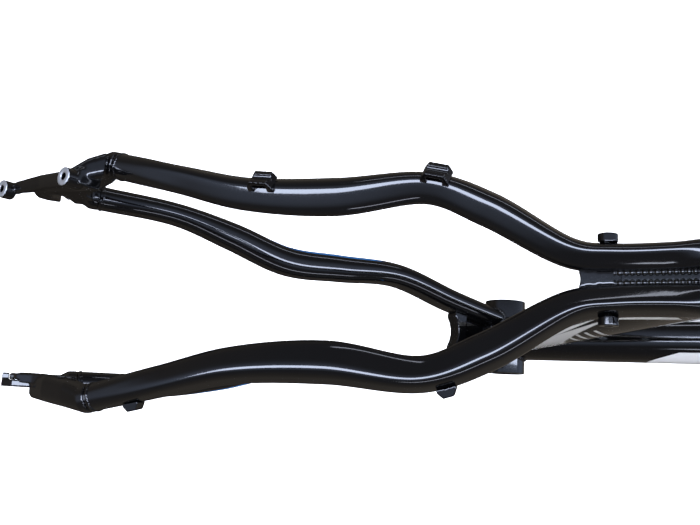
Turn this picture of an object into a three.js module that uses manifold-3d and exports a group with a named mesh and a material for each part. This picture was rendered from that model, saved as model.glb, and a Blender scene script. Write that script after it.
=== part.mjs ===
// Hardtail mountain-bike frame in aluminium, millimetres.
// Origin at the centre of the bottom-bracket shell: +X to the front wheel, +Y to the rider's left, +Z up.
import * as THREE from "three";
import { mergeVertices } from "three/addons/utils/BufferGeometryUtils.js";
import Module from "manifold-3d";

const wasm = await Module();
wasm.setup();

// ---- driving dimensions
const gap = 0.3; // clearance left between pieces that touch
const chainStayLength = 442; // rear axle to shell centre
const bracketDrop = 28.4; // shell centre below the axle line
const axleSpacing = 135; // between the dropouts' inner faces
const seatAngle = 73;
const headAngle = 71;
const reach = 395; // shell centre to head tube top, forwards
const stack = 585; // shell centre to head tube top, upwards
const shell = { width: 73, diameter: 40, bore: 34 };
const seatTube = { length: 440, diameter: 34.9, bore: 31.6, slot: 2.4, slotDepth: 32 };
const headTube = { length: 120, diameter: 40, flare: 48, flareLength: 14, bore: 34 };
const topTube = { seatDrop: 32, headDrop: 30, width: 38, height: 36, headHeight: 44 };
const downTube = { headRise: 46, width: 45, height: 42, headHeight: 50 };
const tubePower = 2.4; // above 2 the oval sections are squarer than an ellipse
const stayPower = 2.3;
const tubeWall = 2;
const stayWall = 1.8;
const seatStayDrop = 56; // from the seat tube's top to where the seat stays' line meets its axis
const wishboneGap = 6.4; // between the parallel upper ends of the seat stays
const seatStaySocket = { forward: 37, up: 60.6, out: 15 }; // from the axle and the dropout's inner face
const chainStaySocket = { forward: 31, up: -7, out: 6 };
const dropout = { thickness: 7, axleSlot: 10, slotDepth: 34, slotLean: 25, ringRadius: 10, ringHeight: 0.8 };
const socketCollar = 0.4; // how far a dropout's socket stands out round its stay
const brakeMount = {
  spacing: 74.2, // between the two bolts
  angle: 59, // of the line through both posts above horizontal
  offset: 38.4, // from the axle to the plane of the posts' faces
  lowerAlong: -12.4, // lower post from the foot of that offset
  inset: 2.2, // bolt plane inboard of the dropout's inner face
  postRadius: 6.8, postLength: [9, 14], boltHole: 5,
};
const hanger = {
  thickness: 5,
  platedBy: 4.5, // from the dropout's inner face to the hanger
  holeDown: 28, holeBack: 9, hole: 9.2, // for the derailleur, from the axle
  eye: 10.5, // radius of the round end about that hole
  rear: 21,
  bolt: 4, boltHead: 7, boltSink: 2.4,
};
const wishbone = {
  throatAt: 0.757, throatRadius: 13,
  bridgeFrom: 0.762, bridgeTo: 0.85, bridgeLow: -6, bridgeHigh: 5, reach: 18,
  fillerFrom: 0.854, fillerTo: 0.98, fillerLow: -9, fillerHigh: 6,
};
const chainBridge = { along: 0.872, length: 13, height: 16, waist: 26, floor: 5 };
const rackBoss = { along: 0.83, diameter: 11.4, height: 4.8, hole: 4.4 };
const hoseGuide = {
  along: [0.3, 0.578], turn: 58, // places along the stay, and the angle round it from straight outwards
  length: 18, width: 12, height: 5.6, tunnel: 10, hose: 5.4,
};
const cableGuide = { along: [0.075, 0.594], turn: -8, length: 12, width: 9, height: 5, cable: 4.6 };
const topGuide = { along: [90, 280, 470], turn: -60, length: 10, width: 8, height: 5, cable: 4.6 };
const bottleBoss = { diameter: 11, height: 1.6, hole: 4.6, spacing: 64, seatFrom: 130, downFrom: 210 };
const collar = {
  wall: 3.4, height: 15,
  lap: 2, // how far it stands above the seat tube
  lugLength: 11, lugWidth: 8, split: 3,
  bolt: 5, boltHead: 8.4,
};

// Shape of a stay: s runs from the dropout to the far end, out and bow are how far the centre leaves
// the straight line sideways and in the side view, width and height are the section.
const seatStayShape = [
  { s: 0, out: 0, bow: 0, width: 19, height: 20 },
  { s: 0.14, out: -4, bow: 2, width: 21, height: 20 },
  { s: 0.26, out: -7, bow: 2, width: 24, height: 20 },
  { s: 0.42, out: 0, bow: 1, width: 27, height: 21 },
  { s: 0.57, out: 15, bow: -4, width: 22, height: 21 },
  { s: 0.66, out: 7, bow: -6, width: 23, height: 22 },
  { s: 0.78, out: -12, bow: -8, width: 19, height: 23 },
  { s: 0.84, out: -11, bow: -6, width: 18, height: 23 },
  { s: 0.98, out: -1, bow: 0, width: 18, height: 23 },
];
const chainStayShape = [
  { s: 0, out: 0, bow: 0, width: 19, height: 19 },
  { s: 0.16, out: 6, bow: 0, width: 19, height: 21 },
  { s: 0.28, out: 2, bow: 0, width: 24, height: 22 },
  { s: 0.41, out: -5, bow: 0, width: 26, height: 22 },
  { s: 0.54, out: 3, bow: 0, width: 25, height: 24 },
  { s: 0.69, out: 13, bow: 0, width: 22, height: 28 },
  { s: 0.85, out: 5, bow: 0, width: 21, height: 32 },
  { s: 1, out: 0, bow: 0, width: 20, height: 32 },
];
const chainStayEnd = { back: 8, out: 16 }; // end of the chain stays' line behind and beside the shell centre

// ---- places worked out from the dimensions
const radians = THREE.MathUtils.degToRad;
const axle = new THREE.Vector3(-Math.sqrt(chainStayLength ** 2 - bracketDrop ** 2), 0, bracketDrop);
const face = axleSpacing / 2;
const seatDirection = new THREE.Vector3(-Math.cos(radians(seatAngle)), 0, Math.sin(radians(seatAngle)));
const headDirection = new THREE.Vector3(-Math.cos(radians(headAngle)), 0, Math.sin(radians(headAngle)));
const headTop = new THREE.Vector3(reach, 0, stack);
const alongSeat = (distance) => seatDirection.clone().multiplyScalar(distance);
const downHead = (distance) => headTop.clone().addScaledVector(headDirection, -distance);
const origin = new THREE.Vector3();
const X = new THREE.Vector3(1, 0, 0);
const Y = new THREE.Vector3(0, 1, 0);
const Z = new THREE.Vector3(0, 0, 1);

// ---- finishes
const finish = (color, roughness, metalness) =>
  new THREE.MeshStandardMaterial({ color, roughness, metalness });
const blackPaint = () => finish(0x0b0b0c, 0.12, 0);
const zincSteel = () => finish(0x9fa3a8, 0.3, 1);

// ---- geometry helpers
const group = new THREE.Group();

function solidOf(geometry) {
  const bare = geometry.index ? geometry.toNonIndexed() : geometry.clone();
  bare.deleteAttribute("normal");
  bare.deleteAttribute("uv");
  const merged = mergeVertices(bare, 1e-4);
  return new wasm.Manifold(
    new wasm.Mesh({
      numProp: 3,
      vertProperties: new Float32Array(merged.attributes.position.array),
      triVerts: new Uint32Array(merged.index.array),
    }),
  );
}

function geometryOf(solid) {
  const mesh = solid.getMesh();
  const geometry = new THREE.BufferGeometry();
  geometry.setAttribute("position", new THREE.BufferAttribute(mesh.vertProperties, 3));
  geometry.setIndex(new THREE.BufferAttribute(mesh.triVerts, 1));
  geometry.computeVertexNormals();
  return geometry;
}

const cut = (solid, ...tools) => tools.reduce((left, tool) => left.subtract(tool), solid);
const join = (...solids) => solids.reduce((left, right) => left.add(right));

function place(name, solid, material) {
  const mesh = new THREE.Mesh(geometryOf(solid), material);
  mesh.name = name;
  group.add(mesh);
}

// Closed body through a list of rings with the same number of points.
function loft(rings) {
  const count = rings[0].length;
  const positions = rings.flat().flatMap((point) => [point.x, point.y, point.z]);
  const triangles = [];
  for (let r = 0; r + 1 < rings.length; r++)
    for (let i = 0; i < count; i++) {
      const a = r * count + i;
      const b = r * count + ((i + 1) % count);
      triangles.push(a, b, b + count, a, b + count, a + count);
    }
  const last = (rings.length - 1) * count;
  for (let i = 1; i + 1 < count; i++) triangles.push(0, i + 1, i, last, last + i, last + i + 1);
  const geometry = new THREE.BufferGeometry();
  geometry.setAttribute("position", new THREE.Float32BufferAttribute(positions, 3));
  geometry.setIndex(triangles);
  const solid = solidOf(geometry);
  if (solid.volume() > 0) return solid;
  geometry.setIndex(triangles.map((_, i) => triangles[i - (i % 3) + [0, 2, 1][i % 3]]));
  return solidOf(geometry);
}

// Rounded section about a centre: across and upward are unit vectors, power above 2 squares the corners.
function ring(centre, across, upward, halfWidth, halfHeight, sides = 24, power = 2.2) {
  const bend = (value) => Math.sign(value) * Math.abs(value) ** (2 / power);
  return Array.from({ length: sides }, (_, i) => {
    const angle = ((i + 0.5) / sides) * 2 * Math.PI;
    return centre
      .clone()
      .addScaledVector(across, halfWidth * bend(Math.cos(angle)))
      .addScaledVector(upward, halfHeight * bend(Math.sin(angle)));
  });
}

// Round bar between two points.
function bar(from, to, radius, sides = 28, endRadius = radius) {
  const direction = to.clone().sub(from).normalize();
  const across = Math.abs(direction.y) > 0.9 ? X.clone() : Y.clone();
  across.addScaledVector(direction, -across.dot(direction)).normalize();
  const upward = direction.clone().cross(across);
  return loft([
    ring(from, across, upward, radius, radius, sides, 2),
    ring(to, across, upward, endRadius, endRadius, sides, 2),
  ]);
}

// Prism of an outline of [u, v] pairs, standing on a frame: u along one direction, v along the other,
// depth shared equally to both sides of the centre.
function prism(outline, centre, uDirection, vDirection, depth) {
  const shape = new THREE.Shape(outline.map(([u, v]) => new THREE.Vector2(u, v)));
  const geometry = new THREE.ExtrudeGeometry(shape, { depth, bevelEnabled: false });
  geometry.translate(0, 0, -depth / 2);
  const wDirection = uDirection.clone().cross(vDirection);
  const basis = new THREE.Matrix4().makeBasis(uDirection, vDirection, wDirection).setPosition(centre);
  return solidOf(geometry.applyMatrix4(basis));
}

// Plate with an outline in the side view, given as [x, z] pairs round the rear axle.
const plate = (outline, yLow, yHigh) =>
  prism(outline, new THREE.Vector3(axle.x, (yLow + yHigh) / 2, axle.z), X, Z, yHigh - yLow);
const box = (u, v) => [[-u, -v], [u, -v], [u, v], [-u, v]];

const atAxle = (x, y, z) => new THREE.Vector3(axle.x + x, y, axle.z + z);
const mirrored = (solid) => solid.mirror([0, 1, 0]);
const placePair = (name, left, material) => {
  place("left_" + name, left, material());
  place("right_" + name, mirrored(left), material());
};

// ---- straight tubes, each with a twin grown by the gap that cuts its neighbours
function shellBar(radius, extra) {
  const end = Y.clone().multiplyScalar(shell.width / 2 + extra);
  return bar(end.clone().negate(), end, radius, 40);
}
const shellCutter = shellBar(shell.diameter / 2 + gap, gap);
const seatBar = (radius, low, high) => bar(alongSeat(low), alongSeat(high), radius, 36);
const seatCutter = seatBar(seatTube.diameter / 2 + gap, 0, seatTube.length);

// Head tube with its flared ends; grow is added all round.
const headBar = (radius, extra) => bar(downHead(headTube.length + extra), downHead(-extra), radius, 32);
function headSolid(grow) {
  const step = (headTube.flare - headTube.diameter) / 2;
  const flares = [0, headTube.length].map((distance) => {
    const inward = headDirection.clone().multiplyScalar(distance ? 1 : -1);
    const end = downHead(distance).addScaledVector(inward, -grow);
    const rim = end.clone().addScaledVector(inward, headTube.flareLength - step + grow);
    const neck = rim.clone().addScaledVector(inward, step);
    const radius = headTube.flare / 2 + grow;
    return join(bar(end, rim, radius), bar(rim, neck, radius, 28, headTube.diameter / 2));
  });
  return join(headBar(headTube.diameter / 2 + grow, grow), ...flares);
}
const headCutter = headSolid(gap);

// Tube between two points of the side view whose height changes from one end to the other.
function ovalTube(from, to, width, heights, inset, overrun) {
  const direction = to.clone().sub(from).normalize();
  const upward = direction.clone().cross(Y).normalize();
  const start = from.clone().addScaledVector(direction, -overrun);
  const length = from.distanceTo(to) + 2 * overrun;
  const steps = 5;
  return loft(
    Array.from({ length: steps + 1 }, (_, i) => {
      const share = i / steps;
      const height = THREE.MathUtils.lerp(heights[0], heights[1], THREE.MathUtils.smoothstep(share, 0, 1));
      const centre = start.clone().addScaledVector(direction, length * share);
      return ring(centre, Y, upward, width / 2 - inset, height / 2 - inset, inset > 0 ? 16 : 26, tubePower);
    }),
  );
}

const downTubeFrom = origin;
const downTubeTo = downHead(headTube.length - downTube.headRise);
const topTubeFrom = alongSeat(seatTube.length - topTube.seatDrop);
const topTubeTo = downHead(topTube.headDrop);
const downTubeBody = (inset, overrun) =>
  ovalTube(downTubeFrom, downTubeTo, downTube.width, [downTube.height, downTube.headHeight], inset, overrun);
const topTubeBody = (inset, overrun) =>
  ovalTube(topTubeFrom, topTubeTo, topTube.width, [topTube.height, topTube.headHeight], inset, overrun);

// ---- stays
const seatStayStart = atAxle(seatStaySocket.forward, face + seatStaySocket.out, seatStaySocket.up);
const seatStayEnd = alongSeat(seatTube.length - seatStayDrop);
seatStayEnd.y = (wishboneGap + seatStayShape.at(-1).width) / 2;
const chainStayStart = atAxle(chainStaySocket.forward, face + chainStaySocket.out, chainStaySocket.up);
const chainStayFinish = new THREE.Vector3(-chainStayEnd.back, chainStayEnd.out, 0);

// Centre line and section of a left stay. frame(t) runs from 0 to 1 over the stations, and at(s) finds
// the same by the stations' own s.
function stayLine(from, to, shapes) {
  const line = to.clone().sub(from);
  const sideView = new THREE.Vector3(line.x, 0, line.z).normalize();
  const bowward = new THREE.Vector3(-sideView.z, 0, sideView.x);
  const centres = shapes.map(({ s, out, bow }) =>
    from.clone().addScaledVector(line, s).addScaledVector(Y, out).addScaledVector(bowward, bow),
  );
  const sizes = shapes.map(({ width, height }) => new THREE.Vector3(width / 2, height / 2, 0));
  const path = new THREE.CatmullRomCurve3(centres, false, "centripetal");
  const section = new THREE.CatmullRomCurve3(sizes, false, "catmullrom", 0.5);
  const frame = (t) => {
    const tangent = path.getTangent(t);
    const across = Y.clone().addScaledVector(tangent, -tangent.y).normalize();
    const { x: halfWidth, y: halfHeight } = section.getPoint(t);
    const upward = tangent.clone().cross(across);
    return { centre: path.getPoint(t), tangent, across, upward, halfWidth, halfHeight };
  };
  const at = (s) => {
    const next = Math.max(1, shapes.findIndex((station) => station.s >= s));
    const share = (s - shapes[next - 1].s) / (shapes[next].s - shapes[next - 1].s);
    return frame((next - 1 + share) / (shapes.length - 1));
  };
  return { frame, at };
}

// Body of a left stay; grow is added all round, so a negative value gives the bore, which runs out past
// both ends.
function stayBody(line, grow, sides, steps, power) {
  return loft(
    Array.from({ length: steps + 1 }, (_, i) => {
      const { centre, tangent, across, upward, halfWidth, halfHeight } = line.frame(i / steps);
      const overrun = grow < 0 ? ((i === steps) - (i === 0)) * stayWall : 0;
      centre.addScaledVector(tangent, overrun);
      return ring(centre, across, upward, halfWidth + grow, halfHeight + grow, sides, power);
    }),
  );
}
const seatStayLine = stayLine(seatStayStart, seatStayEnd, seatStayShape);
const chainStayLine = stayLine(chainStayStart, chainStayFinish, chainStayShape);
const seatStayBody = (grow, sides = 18) => stayBody(seatStayLine, grow, sides, 30, stayPower);
const chainStayBody = (grow, sides = 18) => stayBody(chainStayLine, grow, sides, 26, stayPower);
const leftSeatStay = cut(seatStayBody(0), seatCutter, seatStayBody(-stayWall, 8));
const leftChainStay = cut(chainStayBody(0), shellCutter, seatCutter, chainStayBody(-stayWall, 8));
const bothSides = (solid) => join(solid, mirrored(solid));
const seatStayCutter = bothSides(seatStayBody(gap));
const chainStayCutter = bothSides(chainStayBody(gap));

place("bb_shell", cut(shellBar(shell.diameter / 2, 0), shellBar(shell.bore / 2, 1)), blackPaint());

const seatSlotLow = seatTube.length - seatTube.slotDepth;
const seatSlot = loft(
  [seatSlotLow, seatTube.length + 1].map((distance) =>
    ring(alongSeat(distance).addScaledVector(X, -seatTube.diameter / 2), Y, X,
      seatTube.slot / 2, seatTube.diameter / 4, 12, 4),
  ),
);
place("seat_tube",
  cut(seatBar(seatTube.diameter / 2, 0, seatTube.length), shellCutter,
    seatBar(seatTube.bore / 2, -1, seatTube.length + 1), seatSlot),
  blackPaint());

place("head_tube", cut(headSolid(0), headBar(headTube.bore / 2, 1)), blackPaint());
place("down_tube",
  cut(downTubeBody(0, 0), downTubeBody(tubeWall, 1), shellCutter, seatCutter, headCutter),
  blackPaint());
place("top_tube", cut(topTubeBody(0, 0), topTubeBody(tubeWall, 1), seatCutter, headCutter), blackPaint());
placePair("seat_stay", leftSeatStay, blackPaint);
placePair("chain_stay", leftChainStay, blackPaint);

// ---- plates between the stays
// Bar across the middle of the frame that follows the seat stays' side view from one share to another.
function wishboneBar({ from, to, low, high, halfWidth }) {
  const steps = 4;
  return loft(
    Array.from({ length: steps + 1 }, (_, i) => {
      const { centre, upward } = seatStayLine.at(THREE.MathUtils.lerp(from, to, i / steps));
      const lift = upward.clone().setY(0).normalize();
      const middle = centre.clone().setY(0).addScaledVector(lift, (low + high) / 2);
      return ring(middle, Y, lift, halfWidth, (high - low) / 2, 16, 6);
    }),
  );
}
const throatFrame = seatStayLine.at(wishbone.throatAt);
const throatMiddle = throatFrame.centre.clone().setY(0);
const throatUp = throatFrame.upward.clone().setY(0).normalize().multiplyScalar(wishbone.throatRadius * 3);
const throat = bar(
  throatMiddle.clone().sub(throatUp), throatMiddle.clone().add(throatUp), wishbone.throatRadius,
);
const bridgeBar = wishboneBar({
  from: wishbone.bridgeFrom, to: wishbone.bridgeTo,
  low: wishbone.bridgeLow, high: wishbone.bridgeHigh, halfWidth: wishbone.reach,
});
const fillerBar = wishboneBar({
  from: wishbone.fillerFrom, to: wishbone.fillerTo,
  low: wishbone.fillerLow, high: wishbone.fillerHigh, halfWidth: wishboneGap / 2 - gap,
});
place("wishbone_bridge", cut(bridgeBar, throat, seatStayCutter), blackPaint());
place("wishbone_filler", cut(fillerBar, seatCutter), blackPaint());

// Wall between the chain stays, hollowed behind, and the floor that runs from it to the shell.
const chainBridgeAt = chainStayLine.at(chainBridge.along).centre;
const chainBridgeMiddle = chainBridgeAt.clone().setY(0);
const chainBridgeWidth = chainBridgeAt.y * 2;
const waistMiddle = chainBridgeMiddle.clone()
  .addScaledVector(X, -chainBridge.length / 2 - chainBridge.waist * 0.85);
const waistHalf = Z.clone().multiplyScalar(chainBridge.height);
const floorLength = -chainBridgeMiddle.x;
const floorMiddle = chainBridgeMiddle.clone().setX(0)
  .addScaledVector(Z, (chainBridge.floor - chainBridge.height) / 2);
const wallBox = box(chainBridge.length / 2, chainBridge.height / 2);
const floorOutline = [
  [-floorLength, -chainBridgeAt.y], [-chainStayEnd.back, -chainStayEnd.out],
  [-chainStayEnd.back, chainStayEnd.out], [-floorLength, chainBridgeAt.y],
];
place("chain_stay_bridge",
  cut(
    join(prism(wallBox, chainBridgeMiddle, X, Z, chainBridgeWidth),
      prism(floorOutline, floorMiddle, X, Y, chainBridge.floor)),
    bar(waistMiddle.clone().sub(waistHalf), waistMiddle.clone().add(waistHalf), chainBridge.waist),
    chainStayCutter, shellCutter, seatCutter),
  blackPaint());

// ---- dropouts, both drawn on the left side
const innerFace = face + dropout.ringHeight;
const outerFace = innerFace + dropout.thickness;
const slotLean = radians(dropout.slotLean);
const slotDirection = new THREE.Vector3(Math.sin(slotLean), 0, -Math.cos(slotLean));
const slotSide = slotDirection.clone().cross(Y);
const slotTool = join(
  prism([[0, -dropout.axleSlot / 2], [dropout.slotDepth, -dropout.axleSlot / 2],
    [dropout.slotDepth, dropout.axleSlot / 2], [0, dropout.axleSlot / 2]],
    atAxle(0, innerFace, 0), slotDirection, slotSide, 40),
  bar(atAxle(0, innerFace - 20, 0), atAxle(0, innerFace + 20, 0), dropout.axleSlot / 2, 28),
);
const contactRing = bar(atAxle(0, face, 0), atAxle(0, innerFace + 1, 0), dropout.ringRadius);

// Arm of a forging: it grows through a list of sections into the socket that a stay starts in.
function socketArm(sections, line) {
  const { centre, tangent, across, upward, halfWidth, halfHeight } = line.frame(0);
  const first = sections[0];
  const run = new THREE.Vector3(centre.x - axle.x - first.x, 0, centre.z - axle.z - first.z).normalize();
  const lift = new THREE.Vector3(-run.z, 0, run.x);
  const rings = sections.map(({ x, z, out, halfWidth: w, halfHeight: h }) =>
    ring(atAxle(x, face + out, z), Y, lift, w, h, 20, 3),
  );
  const end = (back) =>
    ring(centre.clone().addScaledVector(tangent, -back), across, upward,
      halfWidth + socketCollar, halfHeight + socketCollar, 20, stayPower);
  return loft([...rings, end(6), end(gap)]);
}
const chainSocket = (fromOut) =>
  socketArm([
    { x: 11, z: -4, out: fromOut, halfWidth: 3.4, halfHeight: 12 },
    { x: 19, z: -5, out: fromOut + 1, halfWidth: 5.5, halfHeight: 11 },
  ], chainStayLine);

// Left dropout: plate, two sockets and the arm that carries the brake.
const brakeAngle = radians(brakeMount.angle);
const brakeAlong = new THREE.Vector3(Math.cos(brakeAngle), 0, Math.sin(brakeAngle));
const brakeOut = new THREE.Vector3(-Math.sin(brakeAngle), 0, Math.cos(brakeAngle));
const brakePlane = face - brakeMount.inset;
const upperAlong = brakeMount.lowerAlong + brakeMount.spacing;
const brakePoint = (along, out) =>
  atAxle(0, brakePlane, 0).addScaledVector(brakeAlong, along).addScaledVector(brakeOut, out);
const posts = [brakeMount.lowerAlong, upperAlong].map((along, i) => {
  const top = brakePoint(along, brakeMount.offset);
  const mouth = brakePoint(along, brakeMount.offset + 1);
  const foot = brakePoint(along, brakeMount.offset - brakeMount.postLength[i]);
  const beyond = brakePoint(along, 0);
  return {
    body: bar(foot, top, brakeMount.postRadius, 24),
    hole: bar(beyond, mouth, brakeMount.boltHole / 2, 16),
  };
});
// Web between the posts, thin at the lower one and deeper towards the hood.
const webStart = brakeMount.lowerAlong - brakeMount.postRadius;
const webEnd = upperAlong + brakeMount.postRadius;
const brakeWeb = loft(
  [
    { share: 0, out: 29.5, y: 0.4, halfWidth: 3.4, halfHeight: 3.6 },
    { share: 0.16, out: 28.5, y: 2.6, halfWidth: 4.2, halfHeight: 3.6 },
    { share: 0.45, out: 23.5, y: 4.4, halfWidth: 5.4, halfHeight: 6 },
    { share: 0.73, out: 20, y: 3.6, halfWidth: 6, halfHeight: 9.5 },
    { share: 1, out: 21, y: 2, halfWidth: 6.6, halfHeight: 9.5 },
  ].map(({ share, out, y, halfWidth, halfHeight }) => {
    const centre = brakePoint(THREE.MathUtils.lerp(webStart, webEnd, share), out).addScaledVector(Y, y);
    return ring(centre, Y, brakeOut, halfWidth, halfHeight, 16, 5);
  }),
);
const leftPlate = plate(
  [[-16, -8], [-13, -17], [-6, -21], [6, -21], [17, -18], [26, -15], [26, 3], [20, 10], [21, 22],
    [28, 38], [16, 48], [6, 44], [-6, 30], [-16, 18], [-18, 8]],
  innerFace, outerFace,
);
const leftHood = socketArm([
  { x: 11, z: 22, out: 4.6, halfWidth: 3.6, halfHeight: 11 },
  { x: 19, z: 35, out: 8, halfWidth: 6.5, halfHeight: 12.5 },
  { x: 27, z: 47, out: 13.4, halfWidth: 8.4, halfHeight: 12 },
], seatStayLine);
const brakeBrace = loft([
  ring(atAxle(2, brakePlane + 0.5, 66), Y, Z, 5.6, 7, 16, 4),
  ring(atAxle(14, face + 6.5, 64), Y, Z, 8.5, 8, 16, 4),
  ring(atAxle(26, face + 12.5, 60), Y, Z, 9.8, 10, 16, 4),
]);
const wheelSpace = bar(atAxle(0, 0, 0), atAxle(0, innerFace, 0), 19, 40);
place("left_dropout",
  cut(join(cut(join(brakeWeb, brakeBrace), wheelSpace), leftPlate, leftHood, chainSocket(4.6), contactRing,
    ...posts.map(({ body }) => body)), slotTool, ...posts.map(({ hole }) => hole)),
  blackPaint());

// Right dropout: a thinner plate behind the hanger, under a broad hood.
const hangerInner = innerFace + hanger.platedBy + gap;
const hangerOuter = hangerInner + hanger.thickness;
const hangerBoltAt = { x: -11, z: 8.5 };
const hangerHole = { x: -hanger.holeBack, z: -hanger.holeDown };
const acrossBar = ({ x, z }, yLow, yHigh, diameter, sides = 20) =>
  bar(atAxle(x, yLow, z), atAxle(x, yHigh, z), diameter / 2, sides);
const hangerEye = Array.from({ length: 13 }, (_, i) => {
  const angle = radians(20 - i * 18);
  return [hangerHole.x + hanger.eye * Math.cos(angle), hangerHole.z + hanger.eye * Math.sin(angle)];
});
const hangerOutline = [
  [-hanger.rear, -7], [-hanger.rear, 6], [-14, 14], [-3, 17], [7, 14.5], [12, 8], [12, 0], [-2, -8],
  ...hangerEye, [-16, -16],
];
const hangerLip = [[-hanger.rear, -7], [-hanger.rear, 6], [-16.3, 6], [-16.3, -7]];
const hangerSolid = cut(
  join(plate(hangerOutline, hangerInner, hangerOuter), plate(hangerLip, innerFace, hangerInner + 1)),
  slotTool,
  acrossBar(hangerHole, innerFace - 1, hangerOuter + 1, hanger.hole),
  acrossBar(hangerBoltAt, innerFace - 1, hangerOuter + 1, hanger.bolt + 2 * gap, 16),
  acrossBar(hangerBoltAt, hangerOuter - hanger.boltSink, hangerOuter + 1, hanger.boltHead + 2 * gap, 16),
);
// The hanger's outline moved each way by the gap, cut out of the plate behind it.
const hangerPocket = join(...[[gap, 0], [-gap, 0], [0, gap], [0, -gap]].map(([dx, dz]) =>
  plate(hangerOutline.map(([x, z]) => [x + dx, z + dz]), hangerInner - gap, hangerOuter + 40)));
const rightPlate = plate(
  [[-16, -8], [-13, -19], [-6, -25], [6, -25], [17, -20], [26, -16], [26, 3], [21, 10], [22, 24],
    [28, 38], [14, 40], [-2, 22], [-12, 14], [-16, 6]],
  innerFace, outerFace,
);
const rightHood = socketArm([
  { x: 1, z: 14, out: 9.4, halfWidth: 8.4, halfHeight: 5 },
  { x: 12, z: 28, out: 10.6, halfWidth: 9.8, halfHeight: 9.5 },
  { x: 25, z: 45, out: 13.6, halfWidth: 9.6, halfHeight: 11 },
], seatStayLine);
place("right_dropout",
  mirrored(cut(join(rightPlate, rightHood, chainSocket(4.6), contactRing), hangerPocket, slotTool,
    acrossBar(hangerBoltAt, face - 1, outerFace, hanger.bolt + 2 * gap, 16))),
  blackPaint());
place("derailleur_hanger", mirrored(hangerSolid), blackPaint());
place("hanger_bolt",
  mirrored(join(acrossBar(hangerBoltAt, innerFace + 0.5, hangerOuter - 0.5, hanger.bolt, 16),
    acrossBar(hangerBoltAt, hangerOuter + gap - hanger.boltSink, hangerOuter, hanger.boltHead, 16))),
  zincSteel());

// ---- bosses and guides
const rack = seatStayLine.at(rackBoss.along);
const rackFoot = rack.centre.clone();
const rackTip = rackFoot.clone().addScaledVector(Y, rack.halfWidth + rackBoss.height);
placePair("rack_boss",
  cut(bar(rackFoot, rackTip, rackBoss.diameter / 2, 24), seatStayBody(gap),
    bar(rackFoot, rackTip.clone().addScaledVector(Y, 1), rackBoss.hole / 2, 16)),
  blackPaint);

// Saddle on a tube: foot is a point on the tube's axis, outward points to the saddle from there, and
// reach is the tube's half size that way. The tunnel, if any, runs under it across the tube.
function saddle(foot, tangent, outward, reach, { length, width, height, tunnel = 0, hose, cable }, tube) {
  const base = foot.clone().addScaledVector(outward, reach);
  const [l, low, groove] = [length / 2, -reach / 2, (hose ?? cable) / 2];
  const outline = [[-l, low], [-l, 1], [-l + 2.8, height], [l - 2.8, height], [l, 1], [l, low]];
  const block = prism(outline, base, tangent, outward, width);
  const grooveAt = base.clone().addScaledVector(outward, height + groove * 0.25);
  const run = tangent.clone().multiplyScalar(length);
  const tools = [tube, bar(grooveAt.clone().sub(run), grooveAt.clone().add(run), groove, 16)];
  if (tunnel) tools.push(prism(box(tunnel / 2, height * 0.5), base, tangent, outward, width * 2));
  return cut(block, ...tools);
}
// Half size of an oval section in the direction turned away from its width.
function reachAt(turn, halfWidth, halfHeight, power) {
  const across = Math.abs(Math.cos(turn)) / halfWidth;
  const upward = Math.abs(Math.sin(turn)) / halfHeight;
  return (across ** power + upward ** power) ** (-1 / power);
}

function staySaddle(s, guide) {
  const { centre, tangent, across, upward, halfWidth, halfHeight } = seatStayLine.at(s);
  const turn = radians(guide.turn);
  const outward = across.clone().multiplyScalar(Math.cos(turn)).addScaledVector(upward, Math.sin(turn));
  const reach = reachAt(turn, halfWidth, halfHeight, stayPower);
  return saddle(centre, tangent, outward, reach, guide, seatStayBody(gap));
}
["lower", "upper"].forEach((where, i) => {
  place(where + "_hose_guide", staySaddle(hoseGuide.along[i], hoseGuide), blackPaint());
  place(where + "_cable_guide", mirrored(staySaddle(cableGuide.along[i], cableGuide)), blackPaint());
});

const topTubeRun = topTubeTo.clone().sub(topTubeFrom).normalize();
const topTubeUp = topTubeRun.clone().cross(Y).normalize();
const topTurn = radians(topGuide.turn);
const topOutward = Y.clone().multiplyScalar(-Math.cos(topTurn)).addScaledVector(topTubeUp, Math.sin(topTurn));
["rear", "middle", "front"].forEach((where, i) => {
  const foot = topTubeFrom.clone().addScaledVector(topTubeRun, topGuide.along[i]);
  const share = THREE.MathUtils.smoothstep(topGuide.along[i] / topTubeFrom.distanceTo(topTubeTo), 0, 1);
  const height = THREE.MathUtils.lerp(topTube.height, topTube.headHeight, share);
  const reach = reachAt(topTurn, topTube.width / 2, height / 2, tubePower);
  const guide = saddle(foot, topTubeRun, topOutward, reach, topGuide, topTubeBody(-gap, 0));
  place("top_tube_guide_" + where, guide, blackPaint());
});

const downRun = downTubeTo.clone().sub(downTubeFrom).normalize();
const downUp = downRun.clone().cross(Y).normalize();
const seatFront = seatDirection.clone().cross(Y).negate().normalize();
[
  { tube: "seat_tube", along: seatDirection, from: bottleBoss.seatFrom, outward: seatFront,
    half: seatTube.diameter / 2, tool: seatCutter },
  { tube: "down_tube", along: downRun, from: bottleBoss.downFrom, outward: downUp,
    half: downTube.height / 2 + 3, tool: downTubeBody(-gap, 0) },
].forEach(({ tube, along, from, outward, half, tool }) =>
  ["lower", "upper"].forEach((where, i) => {
    const foot = along.clone().multiplyScalar(from + i * bottleBoss.spacing);
    const tip = foot.clone().addScaledVector(outward, half + bottleBoss.height);
    const hole = bar(foot, tip.clone().add(outward), bottleBoss.hole / 2, 12);
    place(tube + "_boss_" + where, cut(bar(foot, tip, bottleBoss.diameter / 2, 20), tool, hole), zincSteel());
  }),
);

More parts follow.
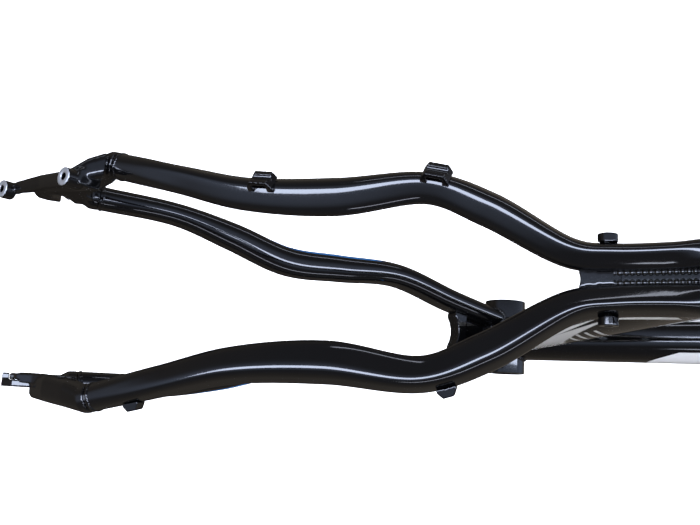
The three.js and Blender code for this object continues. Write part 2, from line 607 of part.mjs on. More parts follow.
// ---- seat collar with its bolt and barrel nut
const collarInner = seatTube.diameter / 2 + gap;
const collarLow = seatTube.length + collar.lap - collar.height;
const collarMiddle = alongSeat(collarLow + collar.height / 2);
const seatBack = seatFront.clone().negate();
const lugOut = collarInner + (collar.wall + collar.lugLength) / 2;
const boltOut = collarInner + collar.wall + collar.lugLength * 0.45;
const lugMiddle = collarMiddle.clone().addScaledVector(seatBack, lugOut);
const boltMiddle = collarMiddle.clone().addScaledVector(seatBack, boltOut);
function boltBar(fromY, toY, diameter) {
  const from = boltMiddle.clone().addScaledVector(Y, fromY);
  const to = boltMiddle.clone().addScaledVector(Y, toY);
  return bar(from, to, diameter / 2, 20);
}
const lugHalf = collar.split / 2 + collar.lugWidth;
place("seat_collar",
  cut(
    join(seatBar(collarInner + collar.wall, collarLow, collarLow + collar.height),
      prism(box(collar.lugLength / 2 + 1, lugHalf), lugMiddle, seatBack, Y, collar.height)),
    seatBar(collarInner, collarLow - 1, collarLow + collar.height + 1),
    prism(box(collar.lugLength + collar.wall, collar.split / 2), lugMiddle, seatBack, Y, collar.height + 2),
    boltBar(-lugHalf - 1, lugHalf + 1, collar.bolt + 2 * gap)),
  blackPaint());
const nutLength = collar.lugWidth - 3;
const headInner = lugHalf + gap;
place("collar_bolt",
  join(boltBar(-lugHalf + nutLength + gap, headInner + 1, collar.bolt),
    boltBar(headInner, headInner + 5, collar.boltHead)),
  zincSteel());
place("collar_nut",
  join(boltBar(-headInner - 1, -lugHalf + nutLength, collar.bolt),
    boltBar(-headInner - 3, -headInner, collar.boltHead)),
  zincSteel());

export default group;
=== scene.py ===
import math

import bmesh
import bpy
import numpy as np
from mathutils import Matrix, Vector


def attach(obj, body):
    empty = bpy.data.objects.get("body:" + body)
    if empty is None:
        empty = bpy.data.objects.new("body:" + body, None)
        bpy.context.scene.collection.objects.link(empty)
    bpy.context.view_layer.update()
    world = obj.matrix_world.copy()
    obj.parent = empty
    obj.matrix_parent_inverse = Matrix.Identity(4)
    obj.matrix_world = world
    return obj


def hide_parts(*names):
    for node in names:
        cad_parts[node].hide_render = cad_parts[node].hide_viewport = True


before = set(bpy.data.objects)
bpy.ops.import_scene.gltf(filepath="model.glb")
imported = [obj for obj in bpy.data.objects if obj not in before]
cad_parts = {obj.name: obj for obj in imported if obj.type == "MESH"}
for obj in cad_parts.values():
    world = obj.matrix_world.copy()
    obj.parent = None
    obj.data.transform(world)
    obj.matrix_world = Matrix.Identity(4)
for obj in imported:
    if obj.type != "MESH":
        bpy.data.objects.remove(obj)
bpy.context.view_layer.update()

mm = 0.001

# Driving dimensions of the frame, in millimetres, with the origin at the centre of the shell.
chainStayLength = 442
bracketDrop = 28.4
innerFace = 135 / 2
seatAngle = math.radians(73)
headAngle = math.radians(71)
shell = {"width": 73, "radius": 20, "bore": 17}
seatTube = {"length": 440, "radius": 17.45, "bore": 15.8, "slot": 2.4, "slotDepth": 32}
headTube = {"length": 120, "radius": 20, "flare": 24, "flareLength": 14, "bore": 17}
topTube = {"seatDrop": 32, "headDrop": 30, "width": 38, "height": 36, "headHeight": 44}
downTube = {"headRise": 46, "width": 45, "height": 42, "headHeight": 50}
tubePower = 2.4
stayPower = 2.3
seatStayDrop = 56
wishboneGap = 6.4
letIn = 0.6  # how far a welded piece reaches into the one that it meets
reach = 30  # how far a cutting bar runs past a tube's end
shellBarHalf = 60  # half the length of the bar that cuts at the shell, wider than anything that meets it
brakeMount = {"offset": 38.4, "angle": math.radians(59)}

# Stations of a left stay: share of its length, sideways and side-view offset, width and height.
seatStayStations = [
    (0, 0, 0, 19, 20), (0.14, -4, 2, 21, 20), (0.26, -7, 2, 24, 20), (0.42, 0, 1, 27, 21),
    (0.57, 15, -4, 22, 21), (0.66, 7, -6, 23, 22), (0.78, -12, -8, 19, 23), (0.84, -11, -6, 18, 23),
    (0.98, -1, 0, 18, 23),
]
chainStayStations = [
    (0, 0, 0, 19, 19), (0.16, 6, 0, 19, 21), (0.28, 2, 0, 24, 22), (0.41, -5, 0, 26, 22),
    (0.54, 3, 0, 25, 24), (0.69, 13, 0, 22, 28), (0.85, 5, 0, 21, 32), (1, 0, 0, 20, 32),
]
# A seat stay is pressed to a squarer section that leans inwards, which leaves a crest along its outer top.
pressed = {"lean": math.radians(19), "power": 3.6}

axle = np.array([-math.sqrt(chainStayLength ** 2 - bracketDrop ** 2), 0, bracketDrop])
seatUp = np.array([-math.cos(seatAngle), 0, math.sin(seatAngle)])
headUp = np.array([-math.cos(headAngle), 0, math.sin(headAngle)])
headTop = np.array([395.0, 0, 585])
headBase = headTop - headUp * headTube["length"]
seatFront = np.array([math.sin(seatAngle), 0, math.cos(seatAngle)])
sideways = np.array([0.0, 1, 0])
origin = np.zeros(3)


def unit(vector):
    return vector / np.linalg.norm(vector)


def linear(code):
    channels = [int(code[i:i + 2], 16) / 255 for i in (1, 3, 5)]
    return [c / 12.92 if c <= 0.04045 else ((c + 0.055) / 1.055) ** 2.4 for c in channels] + [1]


def addNode(tree, kind, values=None, links=None, **settings):
    node = tree.nodes.new(kind)
    for key, value in settings.items():
        setattr(node, key, value)
    for key, value in (values or {}).items():
        node.inputs[key].default_value = value
    for key, socket in (links or {}).items():
        tree.links.new(socket, node.inputs[key])
    return node


def newMaterial(name):
    material = bpy.data.materials.new(name)
    material.use_nodes = True
    tree = material.node_tree
    tree.nodes.clear()
    shader = addNode(tree, "ShaderNodeBsdfPrincipled")
    addNode(tree, "ShaderNodeOutputMaterial", links={"Surface": shader.outputs[0]})
    place = addNode(tree, "ShaderNodeTexCoord")
    return material, tree, shader, place.outputs["Object"]


# Cloudy noise whose swells are a given number of millimetres across.
def cloud(tree, place, swell, detail):
    return addNode(tree, "ShaderNodeTexNoise", {"Scale": 1 / (swell * mm), "Detail": detail},
                   {"Vector": place}).outputs[0]


# Fine relief in the surface: swells and their depth in millimetres.
def addRelief(tree, shader, place, swell, depth):
    bump = addNode(tree, "ShaderNodeBump", {"Strength": 1, "Distance": depth * mm},
                   {"Height": cloud(tree, place, swell, 2)})
    tree.links.new(bump.outputs[0], shader.inputs["Normal"])


# 1 where the distance along a direction lies between low and high millimetres, with soft edges.
def bandMask(tree, place, direction, low, high, soft=0.3):
    along = addNode(tree, "ShaderNodeVectorMath", {1: tuple(direction)}, {0: place}, operation="DOT_PRODUCT")
    steps = [addNode(tree, "ShaderNodeMapRange",
                     {"From Min": (edge - soft) * mm, "From Max": (edge + soft) * mm},
                     {"Value": along.outputs["Value"]}) for edge in (low, high)]
    return addNode(tree, "ShaderNodeMath", links={0: steps[0].outputs[0], 1: steps[1].outputs[0]},
                   operation="SUBTRACT").outputs[0]


def allOf(tree, masks):
    result = masks[0]
    for mask in masks[1:]:
        result = addNode(tree, "ShaderNodeMath", links={0: result, 1: mask}, operation="MULTIPLY").outputs[0]
    return result


# Gloss black enamel over aluminium, sprayed and cleared: deep black with long sharp highlights, which a
# slight orange peel, its swells 4 mm across, keeps from looking like glass.
# graphics holds (colour, function making its mask) pairs, painted over the black under the same skin.
def blackPaint(name, graphics=()):
    material, tree, shader, place = newMaterial(name)
    base = addNode(tree, "ShaderNodeMix",
                   {"A": linear("#050506"), "B": linear("#09090a")},
                   {"Factor": cloud(tree, place, 28, 3)}, data_type="RGBA").outputs["Result"]
    for colour, makeMask in graphics:
        base = addNode(tree, "ShaderNodeMix", {"B": linear(colour)},
                       {"Factor": makeMask(tree, place), "A": base}, data_type="RGBA").outputs["Result"]
    tree.links.new(base, shader.inputs["Base Color"])
    shader.inputs["Roughness"].default_value = 0.09
    shader.inputs["IOR"].default_value = 1.5
    shader.inputs["Coat Weight"].default_value = 0.5
    shader.inputs["Coat Roughness"].default_value = 0.04
    addRelief(tree, shader, place, 4, 0.02)
    return material


# Milled aluminium: bare faces left after the paint, dull silver. The tool grain is drawn 1.1 mm across,
# coarser than the cutter leaves it, so that it shows.
def bareAluminium():
    material, tree, shader, place = newMaterial("milledAluminium")
    shader.inputs["Base Color"].default_value = linear("#e3e5e8")
    shader.inputs["Metallic"].default_value = 1
    shader.inputs["Roughness"].default_value = 0.5
    addRelief(tree, shader, place, 1.1, 0.03)
    return material


# Bright zinc-plated steel: small hard highlights with a faint cloudy passivate.
def zincSteel():
    material, tree, shader, place = newMaterial("zincPlatedSteel")
    tint = addNode(tree, "ShaderNodeMix", {"A": linear("#b4b8bd"), "B": linear("#c8c6bd")},
                   {"Factor": cloud(tree, place, 5.5, 3)}, data_type="RGBA")
    tree.links.new(tint.outputs["Result"], shader.inputs["Base Color"])
    shader.inputs["Metallic"].default_value = 1
    shader.inputs["Roughness"].default_value = 0.36
    addRelief(tree, shader, place, 1.7, 0.01)
    return material


# Black anodised aluminium: a satin clamp ring that reads softer than the paint beside it. Its etch is
# drawn 0.8 mm across, far coarser than the real one, so that it shows.
def anodisedBlack():
    material, tree, shader, place = newMaterial("blackAnodisedAluminium")
    shader.inputs["Base Color"].default_value = linear("#1d1d20")
    shader.inputs["Metallic"].default_value = 0.8
    shader.inputs["Roughness"].default_value = 0.34
    addRelief(tree, shader, place, 0.8, 0.008)
    return material


# Matt white paper sweep: an even pale ground with no gloss.
def paperWhite():
    material, tree, shader, place = newMaterial("paperSweep")
    shader.inputs["Base Color"].default_value = linear("#f6f6f6")
    shader.inputs["Roughness"].default_value = 0.95
    shader.inputs["Specular IOR Level"].default_value = 0
    return material


def evaluated(obj):
    bpy.context.view_layer.update()
    graph = bpy.context.evaluated_depsgraph_get()
    mesh = bpy.data.meshes.new_from_object(obj.evaluated_get(graph))
    obj.modifiers.clear()
    obj.data = mesh
    return obj


def addObject(name, points, faces, material):
    mesh = bpy.data.meshes.new(name)
    mesh.from_pydata([tuple(p) for p in np.asarray(points) * mm], [], faces)
    mesh.update()
    mesh.shade_smooth()
    obj = bpy.data.objects.new(name, mesh)
    bpy.context.scene.collection.objects.link(obj)
    obj.data.materials.append(material)
    return obj


def outwards(obj):
    shape = bmesh.new()
    shape.from_mesh(obj.data)
    bmesh.ops.recalc_face_normals(shape, faces=shape.faces)
    shape.to_mesh(obj.data)
    shape.free()
    return obj


# Skin over rings of points: closed runs it round into itself, otherwise both ends are capped.
def skin(name, rings, material, closed=False):
    count, sides = rings.shape[:2]
    faces = []
    for r in range(count if closed else count - 1):
        following = (r + 1) % count
        for i in range(sides):
            j = (i + 1) % sides
            faces.append((r * sides + i, r * sides + j, following * sides + j, following * sides + i))
    if not closed:
        faces.append(tuple(range(sides - 1, -1, -1)))
        faces.append(tuple(range((count - 1) * sides, count * sides)))
    return outwards(addObject(name, rings.reshape(-1, 3), faces, material))


# Rounded section: power above 2 squares its corners, and lean turns them without changing its size.
def ring(centre, across, upward, halfWidth, halfHeight, sides, power, lean=0.0):
    angles = (np.arange(sides) + 0.5) / sides * 2 * np.pi
    cosines, sines = np.cos(angles - lean), np.sin(angles - lean)
    u0 = np.sign(cosines) * np.abs(cosines) ** (2 / power)
    v0 = np.sign(sines) * np.abs(sines) ** (2 / power)
    u = u0 * math.cos(lean) - v0 * math.sin(lean)
    v = u0 * math.sin(lean) + v0 * math.cos(lean)
    u *= halfWidth / np.abs(u).max()
    v *= halfHeight / np.abs(v).max()
    return centre + np.outer(u, across) + np.outer(v, upward)


# Point on a smooth curve through points; the centripetal kind keeps bends from overshooting.
def curvePoint(points, t, centripetal):
    run = (len(points) - 1) * min(max(t, 0), 1)
    i = min(int(run), len(points) - 2)
    w = run - i
    p1, p2 = points[i], points[i + 1]
    p0 = points[i - 1] if i else 2 * p1 - p2
    p3 = points[i + 2] if i + 2 < len(points) else 2 * p2 - p1
    if centripetal:
        d0, d1, d2 = [max(np.linalg.norm(b - a), 1e-6) ** 0.5 for a, b in ((p0, p1), (p1, p2), (p2, p3))]
        t1 = ((p1 - p0) / d0 - (p2 - p0) / (d0 + d1) + (p2 - p1) / d1) * d1
        t2 = ((p2 - p1) / d1 - (p3 - p1) / (d1 + d2) + (p3 - p2) / d2) * d1
    else:
        t1, t2 = (p2 - p0) / 2, (p3 - p1) / 2
    return p1 + t1 * w + (3 * (p2 - p1) - 2 * t1 - t2) * w ** 2 + (2 * (p1 - p2) + t1 + t2) * w ** 3


# Rings of a left stay from its dropout to its far end. Lean and power ease in and out over these shares
# of its length, so that the ends keep the plain section.
def stayRings(start, end, stations, lean=0.0, power=stayPower, easeIn=0.16, easeOut=0.06,
              steps=170, sides=96):
    line = end - start
    bowward = unit(np.array([-line[2], 0, line[0]]))
    centres = np.array([start + line * s + sideways * out + bowward * bow for s, out, bow, _, _ in stations])
    sizes = np.array([(width / 2, height / 2) for _, _, _, width, height in stations])
    rings = []
    for t in np.linspace(0, 1, steps + 1):
        tangent = unit(curvePoint(centres, t + 1e-4, True) - curvePoint(centres, t - 1e-4, True))
        across = unit(sideways - tangent * tangent[1])
        upward = np.cross(tangent, across)
        halfWidth, halfHeight = curvePoint(sizes, t, False)
        share = min(1, t / easeIn, (1 - t) / easeOut)
        ease = share * share * (3 - 2 * share)
        rings.append(ring(curvePoint(centres, t, True), across, upward, halfWidth, halfHeight,
                          sides, stayPower + (power - stayPower) * ease, lean * ease))
    return np.array(rings)


# Rings of a straight tube whose height eases from one size to the other.
def tubeRings(start, end, width, heights, steps=60, sides=96, power=tubePower):
    direction = unit(end - start)
    upward = np.cross(direction, sideways)
    rings = []
    for share in np.linspace(0, 1, steps + 1):
        ease = share * share * (3 - 2 * share)
        height = heights[0] + (heights[1] - heights[0]) * ease
        centre = start + (end - start) * share
        rings.append(ring(centre, sideways, upward, width / 2, height / 2, sides, power))
    return np.array(rings)


# Hollow turned body: the profile holds (distance along, radius) pairs and closes on itself.
def turned(name, base, direction, profile, material, sides=120):
    across = unit(np.cross(direction, [0.3, 0.5, 0.8]))
    upward = np.cross(direction, across)
    angles = np.arange(sides) / sides * 2 * np.pi
    spokes = np.outer(np.cos(angles), across) + np.outer(np.sin(angles), upward)
    rings = np.array([base + direction * along + spokes * radius for along, radius in profile])
    return skin(name, rings, material, closed=True)


# Profile of a tube with eased rims; outer lists (distance, radius) pairs of its outside.
def tubeProfile(outer, bore, ease=0.5):
    first, last = outer[0], outer[-1]
    rounded = [(first[0] + ease * (1 - math.cos(a)), first[1] - ease * (1 - math.sin(a)))
               for a in np.linspace(0, math.pi / 2, 5)]
    rounded += outer[1:-1]
    rounded += [(last[0] - ease * (1 - math.cos(a)), last[1] - ease * (1 - math.sin(a)))
                for a in np.linspace(math.pi / 2, 0, 5)]
    return rounded + [(last[0], bore), (first[0], bore)]


def cutAway(obj, tool):
    step = obj.modifiers.new("cut", "BOOLEAN")
    step.operation = "DIFFERENCE"
    step.solver = "EXACT"
    step.object = tool
    evaluated(obj)
    obj.data.shade_smooth()
    bpy.data.objects.remove(tool)
    return obj


def bar(base, direction, low, high, radius, material, sides=96):
    across = unit(np.cross(direction, [0.3, 0.5, 0.8]))
    upward = np.cross(direction, across)
    rings = [ring(base + direction * along, across, upward, radius, radius, sides, 2)
             for along in (low, high)]
    return skin("tool", np.array(rings), material)


# Each of these ends a body just inside the round tube that it is welded to.
def endAtShell(obj):
    return cutAway(obj, bar(origin, sideways, -shellBarHalf, shellBarHalf, shell["radius"] - letIn, paint))


def endAtSeatTube(obj):
    return cutAway(obj, bar(origin, seatUp, -reach, seatTube["length"] + reach,
                            seatTube["radius"] - letIn, paint))


def endAtHeadTube(obj):
    return cutAway(obj, bar(headBase, headUp, -reach, headTube["length"] + reach,
                            headTube["radius"] - letIn, paint))


def mirroredRings(rings):
    return rings * np.array([1, -1, 1])


def awayFromAxis(points, direction, base=origin):
    offset = points - base
    return np.linalg.norm(offset - (offset @ direction)[..., None] * direction, axis=-1)


# Where each lengthwise line of a tube's rings passes into a round tube, searched from its far end or
# from its near one.
def meeting(rings, direction, radius, base=origin, atEnd=True):
    order = rings[::-1] if atEnd else rings
    gapTo = awayFromAxis(order, direction, base) - radius
    found = []
    for i in range(rings.shape[1]):
        crossings = np.nonzero((gapTo[:-1, i] < 0) & (gapTo[1:, i] >= 0))[0]
        if len(crossings):
            k = crossings[0]
            share = gapTo[k, i] / (gapTo[k, i] - gapTo[k + 1, i])
            found.append(order[k, i] * (1 - share) + order[k + 1, i] * share)
    return np.array(found)


# Bead laid along a line of points in short overlapping pools, each a swell and a pinch.
def weldBead(name, line, material, radius=2.1, pitch=2.3, ripple=0.22, closed=True, sides=12, flatness=0.7):
    loop = np.vstack([line, line[:1]]) if closed else line
    lengths = np.concatenate([[0], np.cumsum(np.linalg.norm(np.diff(loop, axis=0), axis=1))])
    pools = max(6, round(lengths[-1] / pitch))
    places = np.linspace(0, lengths[-1], pools * 8, endpoint=not closed)
    path = np.stack([np.interp(places, lengths, loop[:, k]) for k in range(3)], axis=1)
    middle = path.mean(axis=0)
    tangents = np.roll(path, -1, axis=0) - np.roll(path, 1, axis=0) if closed else np.gradient(path, axis=0)
    angles = np.arange(sides) / sides * 2 * np.pi
    rings = []
    for i, (point, tangent) in enumerate(zip(path, tangents)):
        tangent = unit(tangent)
        outward = point - middle if closed else seatFront
        outward = unit(outward - tangent * (outward @ tangent))
        beside = np.cross(tangent, outward)
        swell = radius * (1 - ripple + ripple * abs(math.cos(math.pi * i / 8)))
        section = np.outer(np.cos(angles), outward) * flatness + np.outer(np.sin(angles), beside)
        rings.append(point + swell * section)
    return skin(name, np.array(rings), material, closed=closed)


# Finer body grown from a CAD node: an even skin with its edges eased, as thick paint leaves them.
def eased(node, material, grain, passes):
    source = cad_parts[node]
    obj = bpy.data.objects.new(node + "_eased", source.data.copy())
    bpy.context.scene.collection.objects.link(obj)
    obj.data.materials.clear()
    obj.data.materials.append(material)
    remesh = obj.modifiers.new("skin", "REMESH")
    remesh.mode = "VOXEL"
    remesh.voxel_size = grain * mm
    ease = obj.modifiers.new("ease", "SMOOTH")
    ease.factor = 0.5
    ease.iterations = passes
    evaluated(obj)
    obj.data.shade_smooth()
    return obj


def finishPiece(obj, slot, *nodes):
    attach(obj, "root")
    if nodes:
        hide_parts(*nodes)
    return obj


print("helpers ready")

# The down tube's direction, along which its graphics are placed.
downRun = unit(headTop - headUp * (headTube["length"] - downTube["headRise"]))


def eitherOf(tree, masks):
    result = masks[0]
    for mask in masks[1:]:
        result = addNode(tree, "ShaderNodeMath", links={0: result, 1: mask}, operation="MAXIMUM").outputs[0]
    return result


# Thin line along the upper outer side of both chain stays, over their waist. It follows the stays, which
# fall a little and draw together on their way forward.
blueLine = {"rear": -320, "front": -155, "fade": 6, "low": 10, "high": 14, "fall": 0.023,
            "drawIn": 0.177, "inside": 12, "outside": 60}


def blueStripe(tree, place):
    lengthwise = bandMask(tree, place, (1, 0, 0), blueLine["rear"], blueLine["front"], blueLine["fade"])
    upright = bandMask(tree, place, (blueLine["fall"], 0, 1), blueLine["low"], blueLine["high"])
    outer = [bandMask(tree, place, (blueLine["drawIn"], side, 0), blueLine["inside"], blueLine["outside"])
             for side in (1, -1)]
    return allOf(tree, [lengthwise, upright, eitherOf(tree, outer)])


# White panels on both sides of the down tube, with slanted ends.
panel = {"inside": 14, "outside": 30, "rear": 214, "front": 470, "slant": 3.5}


def whitePanels(tree, place):
    masks = []
    for side in (1, -1):
        slanted = downRun + sideways * panel["slant"] * side
        masks.append(allOf(tree, [bandMask(tree, place, sideways * side, panel["inside"], panel["outside"]),
                                  bandMask(tree, place, slanted, panel["rear"], panel["front"])]))
    return eitherOf(tree, masks)


# Two long white blades that narrow up each side of the seat tube, four short bars beside their tips
# and a thin line beyond them. A blade's two edges lean at different rates, so they meet at its tip.
blades = [{"inner": 0.02, "from": 12.7, "outer": 0.06, "to": 22.4, "start": 25, "end": 237},
          {"inner": 0.03, "from": 17.3, "outer": 0.075, "to": 29, "start": 25, "end": 240}]
bars = {"count": 4, "first": 164, "pitch": 16, "thickness": 5, "slant": 0.8, "inside": 14.5, "outside": 30}
# The thin line is flat white in the colour, slanting out towards each side of the tube as it climbs.
farLine = {"start": 260, "end": 330, "slant": 0.1, "from": -17.4, "to": -15.8}
allTheWay = 99  # further than any part of the tube lies to the side


def whiteBlades(tree, place):
    marks = []
    for side in (1, -1):
        across = sideways * side
        for blade in blades:
            marks.append(allOf(tree, [
                bandMask(tree, place, seatUp, blade["start"], blade["end"], 1),
                bandMask(tree, place, across + seatUp * blade["inner"], blade["from"], allTheWay),
                bandMask(tree, place, across + seatUp * blade["outer"], -allTheWay, blade["to"])]))
        starts = [bars["first"] + i * bars["pitch"] for i in range(bars["count"])]
        slanted = [bandMask(tree, place, seatUp - across * bars["slant"], start, start + bars["thickness"])
                   for start in starts]
        marks.append(allOf(tree, [eitherOf(tree, slanted),
                                  bandMask(tree, place, across, bars["inside"], bars["outside"])]))
        marks.append(allOf(tree, [
            bandMask(tree, place, seatUp, farLine["start"], farLine["end"], 1),
            bandMask(tree, place, across - seatUp * farLine["slant"], farLine["from"], farLine["to"])]))
    return eitherOf(tree, marks)


paint = blackPaint("glossBlackEnamel")
chainPaint = blackPaint("glossBlackBlueLine", [("#2a7fc4", blueStripe)])
downPaint = blackPaint("glossBlackWhitePanel", [("#fafaf8", whitePanels)])
seatPaint = blackPaint("glossBlackWhiteBlades", [("#fafaf8", whiteBlades)])
machined = bareAluminium()
zinc = zincSteel()
anodised = anodisedBlack()
print("materials ready")

seatStayStart = axle + np.array([37, innerFace + 15, 60.6])
seatStayEnd = seatUp * (seatTube["length"] - seatStayDrop)
seatStayEnd = seatStayEnd + sideways * (wishboneGap + seatStayStations[-1][3]) / 2
chainStayStart = axle + np.array([31, innerFace + 6, -7])
chainStayEnd = np.array([-8.0, 16, 0])
seatRings = stayRings(seatStayStart, seatStayEnd, seatStayStations, **pressed)
chainRings = stayRings(chainStayStart, chainStayEnd, chainStayStations)
socketBead = {"radius": 1.0, "ripple": 0.1}
for side, place in (("left", np.array), ("right", mirroredRings)):
    seatStay = skin(side + "SeatStay", place(seatRings), paint)
    endAtSeatTube(seatStay)
    finishPiece(seatStay, "black_paint", side + "_seat_stay")
    chainStay = skin(side + "ChainStay", place(chainRings), chainPaint)
    endAtShell(chainStay)
    finishPiece(chainStay, "black_paint", side + "_chain_stay")
    beads = {
        "SeatStayTopBead": meeting(place(seatRings), seatUp, seatTube["radius"]),
        "ChainStayFrontBead": meeting(place(chainRings), sideways, shell["radius"]),
        "SeatStaySocketBead": place(seatRings)[1],
        "ChainStaySocketBead": place(chainRings)[1],
    }
    for name, line in beads.items():
        shape = socketBead if "Socket" in name else {}
        bead = weldBead(side + name, line, paint, **shape)
        finishPiece(bead, "black_paint")

# Strip between the parallel ends of the seat stays, let into both, with a bead along each edge.
centres = seatRings.mean(axis=1)
shares = (centres - seatStayStart) @ unit(seatStayEnd - seatStayStart)
shares = shares / np.linalg.norm(seatStayEnd - seatStayStart)
web = {"from": 0.82, "to": 0.985, "low": -9, "high": 4.5, "halfWidth": wishboneGap / 2 + 1.2,
       "squareness": 6, "beadInset": 0.3}
webBead = {"radius": 2.1, "pitch": 3.2, "ripple": 0.5}
webCentres = centres[(shares > web["from"]) & (shares < web["to"])] * np.array([1, 0, 1])
webRun = unit(webCentres[-1] - webCentres[0])
webUp = np.cross(webRun, sideways)
webMiddle, webHalf = (web["low"] + web["high"]) / 2, (web["high"] - web["low"]) / 2
webRings = np.array([ring(centre + webUp * webMiddle, sideways, webUp, web["halfWidth"], webHalf, 48,
                          web["squareness"])
                     for centre in webCentres])
finishPiece(skin("wishboneWeb", webRings, paint), "black_paint", "wishbone_filler")
beadFrom = len(webCentres) // 4
for name, side in (("wishboneBeadLeft", 1), ("wishboneBeadRight", -1)):
    edge = sideways * side * (wishboneGap / 2 - web["beadInset"])
    line = webCentres[beadFrom:] + webUp * web["high"] + edge
    finishPiece(weldBead(name, line, paint, closed=False, **webBead), "black_paint")
print("stays ready")

shellOuter = [(-shell["width"] / 2, shell["radius"]), (shell["width"] / 2, shell["radius"])]
shellBody = turned("shellBody", origin, sideways, tubeProfile(shellOuter, shell["bore"]), paint)
finishPiece(shellBody, "black_paint", "bb_shell")

seatOuter = [(0, seatTube["radius"]), (seatTube["length"], seatTube["radius"])]
seatBody = turned("seatTubeBody", origin, seatUp, tubeProfile(seatOuter, seatTube["bore"], 0.3), seatPaint)
endAtShell(seatBody)
slotMiddle = seatUp * (seatTube["length"] - seatTube["slotDepth"] / 2) - seatFront * seatTube["radius"]
slotHalf = seatTube["slotDepth"] / 2 + 1
slotRings = [ring(slotMiddle + seatUp * along, sideways, seatFront, seatTube["slot"] / 2, 5, 24, 4)
             for along in (-slotHalf + 1, slotHalf)]
cutAway(seatBody, skin("slotTool", np.array(slotRings), paint))
finishPiece(seatBody, "black_paint", "seat_tube")

flareEnd = headTube["flareLength"]
flareStep = headTube["flare"] - headTube["radius"]
headOuter = [(0, headTube["flare"]), (flareEnd - flareStep, headTube["flare"]),
             (flareEnd, headTube["radius"]),
             (headTube["length"] - flareEnd, headTube["radius"]),
             (headTube["length"] - flareEnd + flareStep, headTube["flare"]),
             (headTube["length"], headTube["flare"])]
headBody = turned("headTubeBody", headBase, headUp, tubeProfile(headOuter, headTube["bore"]), paint)
finishPiece(headBody, "black_paint", "head_tube")

downEnd = headTop - headUp * (headTube["length"] - downTube["headRise"])
downRings = tubeRings(origin, downEnd, downTube["width"], (downTube["height"], downTube["headHeight"]))
topStart = seatUp * (seatTube["length"] - topTube["seatDrop"])
topEnd = headTop - headUp * topTube["headDrop"]
topRings = tubeRings(topStart, topEnd, topTube["width"], (topTube["height"], topTube["headHeight"]))
for name, rings, material, node in (("downTubeBody", downRings, downPaint, "down_tube"),
                                    ("topTubeBody", topRings, paint, "top_tube")):
    tube = skin(name, rings, material)
    endAtShell(tube)
    endAtSeatTube(tube)
    endAtHeadTube(tube)
    finishPiece(tube, "black_paint", node)
seatRun = np.array([ring(seatUp * along, sideways, seatFront, seatTube["radius"], seatTube["radius"], 72, 2)
                    for along in range(0, 61, 2)])
tubeBeads = {
    "downTubeShellBead": meeting(downRings, sideways, shell["radius"], atEnd=False),
    "downTubeHeadBead": meeting(downRings, headUp, headTube["radius"], headTop),
    "topTubeHeadBead": meeting(topRings, headUp, headTube["radius"], headTop),
    "topTubeSeatBead": meeting(topRings, seatUp, seatTube["radius"], atEnd=False),
    "seatTubeShellBead": meeting(seatRun, sideways, shell["radius"], atEnd=False),
}
for name, line in tubeBeads.items():
    finishPiece(weldBead(name, line, paint, radius=2.4), "black_paint")
print("tubes ready")

# Forgings, bridges and guides: voxel size in millimetres and smoothing passes of each.
easedNodes = {
    "left_dropout": (0.75, 5), "right_dropout": (0.75, 5), "derailleur_hanger": (0.5, 4),
    "wishbone_bridge": (0.6, 8), "chain_stay_bridge": (0.7, 7),
    "left_rack_boss": (0.35, 3), "right_rack_boss": (0.35, 3),
    "lower_hose_guide": (0.4, 4), "upper_hose_guide": (0.4, 4),
    "lower_cable_guide": (0.35, 4), "upper_cable_guide": (0.35, 4),
    "top_tube_guide_rear": (0.35, 4), "top_tube_guide_middle": (0.35, 4), "top_tube_guide_front": (0.35, 4),
}
brakeOut = np.array([-math.sin(brakeMount["angle"]), 0, math.cos(brakeMount["angle"])])
milledDepth = 0.45  # how deep below the brake posts' faces the bare metal shows
for node, (grain, passes) in easedNodes.items():
    piece = finishPiece(eased(node, paint, grain, passes), "black_paint", node)
    if node == "left_dropout":
        piece.data.materials.append(machined)
        for face in piece.data.polygons:
            height = (np.array(face.center) / mm - axle) @ brakeOut
            if height > brakeMount["offset"] - milledDepth:
                face.material_index = 1
finishPiece(eased("seat_collar", anodised, 0.4, 3), "anodised_collar", "seat_collar")
for node in ("hanger_bolt", "collar_bolt", "collar_nut", "seat_tube_boss_lower", "seat_tube_boss_upper",
             "down_tube_boss_lower", "down_tube_boss_upper"):
    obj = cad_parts[node]
    obj.data.materials.clear()
    obj.data.materials.append(zinc)
print("forgings ready")

floorDrop = -0.9
floorMesh = bpy.data.meshes.new("paperSweep")
half = 1.25
floorCentre = (0.23, 0.24)
floorMesh.from_pydata([(floorCentre[0] + x * half, floorCentre[1] + y * half, floorDrop) for x, y in
                       ((-1, -1), (1, -1), (1, 1), (-1, 1))], [], [(0, 1, 2, 3)])
floor = bpy.data.objects.new("paperSweep", floorMesh)
floor.data.materials.append(paperWhite())
bpy.context.scene.collection.objects.link(floor)
floor.visible_glossy = False


def addPanel(name, place, target, size, radiance, tint="#ffffff", glossy=True):
    light = bpy.data.lights.new(name, "AREA")
    light.shape = "RECTANGLE"
    light.size, light.size_y = size
    light.energy = radiance * math.pi * size[0] * size[1]
    light.color = linear(tint)[:3]
    obj = bpy.data.objects.new(name, light)
    obj.location = place
    obj.rotation_euler = (Vector(target) - Vector(place)).to_track_quat("-Z", "X").to_euler()
    obj.visible_glossy = glossy
    bpy.context.scene.collection.objects.link(obj)
    return obj


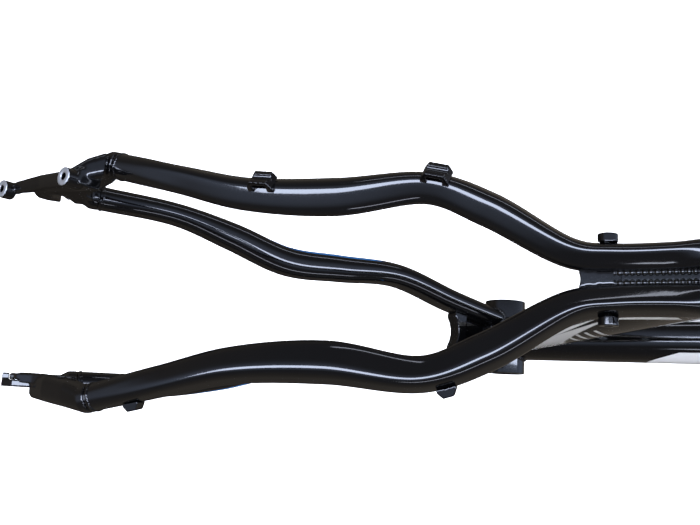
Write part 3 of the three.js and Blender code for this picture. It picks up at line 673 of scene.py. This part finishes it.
# A long window overhead in line with the frame and one behind it make the main highlights, and a thin
# strip on each side makes the second ones. The paint doesn't reflect the fill and the floor's wash.
addPanel("overheadStrip", (0.1, 0, 2.4), (0.1, 0, 0), (4.2, 0.4), 13, "#dbe6ff")
addPanel("rearWindow", (-2.5, 0, 1.7), (0, 0, 0.2), (1.7, 0.65), 13, "#dbe6ff")
addPanel("rightStrip", (-0.3, -1.9, 1.5), (-0.2, 0, 0.1), (0.16, 3.2), 6, "#e6edff")
addPanel("leftStrip", (-0.3, 1.9, 1.1), (-0.2, 0, 0.1), (0.12, 3.2), 5, "#e6edff")
addPanel("rearFill", (-1.6, -0.5, 2), (0, 0, 0.1), (2, 2), 2.2, glossy=False)
addPanel("floorWash", (*floorCentre, floorDrop + 0.45), (*floorCentre, floorDrop), (2.6, 2.6), 2.2,
         glossy=False)

# Surroundings: cool sky along the line of the windows, neutral to both sides, brown-grey ground below.
world = bpy.data.worlds.new("studio")
bpy.context.scene.world = world
world.use_nodes = True
tree = world.node_tree
tree.nodes.clear()
direction = addNode(tree, "ShaderNodeTexCoord")
split = addNode(tree, "ShaderNodeSeparateXYZ", links={0: direction.outputs["Generated"]})
beside = addNode(tree, "ShaderNodeMath", links={0: split.outputs["Y"]}, operation="ABSOLUTE")
spread = addNode(tree, "ShaderNodeMapRange", {"From Min": 0.08, "From Max": 0.5},
                 {"Value": beside.outputs[0]}, interpolation_type="SMOOTHSTEP")
sky = addNode(tree, "ShaderNodeMix", {"A": linear("#bccbea"), "B": linear("#5a5a5e")},
              {"Factor": spread.outputs[0]}, data_type="RGBA")
sink = addNode(tree, "ShaderNodeMapRange", {"From Min": -0.95, "From Max": -0.6},
               {"Value": split.outputs["Z"]})
ground = addNode(tree, "ShaderNodeMix", {"A": linear("#34312e"), "B": linear("#6c665f")},
                 {"Factor": sink.outputs[0]}, data_type="RGBA")
lift = addNode(tree, "ShaderNodeMapRange", {"From Min": -0.15, "From Max": 0.25},
               {"Value": split.outputs["Z"]})
ramp = addNode(tree, "ShaderNodeMix",
               links={"Factor": lift.outputs[0], "A": ground.outputs["Result"], "B": sky.outputs["Result"]},
               data_type="RGBA")
glow = addNode(tree, "ShaderNodeBackground", {"Strength": 1}, {"Color": ramp.outputs["Result"]})
paper = addNode(tree, "ShaderNodeBackground", {"Color": (1, 1, 1, 1), "Strength": 1})
ray = addNode(tree, "ShaderNodeLightPath")
seen = addNode(tree, "ShaderNodeMixShader",
               links={0: ray.outputs["Is Camera Ray"], 1: glow.outputs[0], 2: paper.outputs[0]})
addNode(tree, "ShaderNodeOutputWorld", links={"Surface": seen.outputs[0]})

azimuth, dip, roll = math.radians(25.1), math.radians(63.7), math.radians(70.5)
aim = Vector((math.cos(dip) * math.cos(azimuth), math.cos(dip) * math.sin(azimuth), -math.sin(dip)))
level = aim.cross(Vector((0, 0, 1))).normalized()
right = level * math.cos(roll) - aim.cross(level) * math.sin(roll)
up = right.cross(aim)
lens = bpy.data.cameras.new("view")
lens.sensor_width = 36
lens.lens = 39.1
camera = bpy.data.objects.new("view", lens)
camera.matrix_world = Matrix((right, up, -aim)).transposed().to_4x4()
camera.location = (-0.4651, -0.0798, 0.6421)
bpy.context.scene.collection.objects.link(camera)
bpy.context.scene.camera = camera
bpy.context.scene.view_settings.view_transform = "Standard"
print("stage ready")
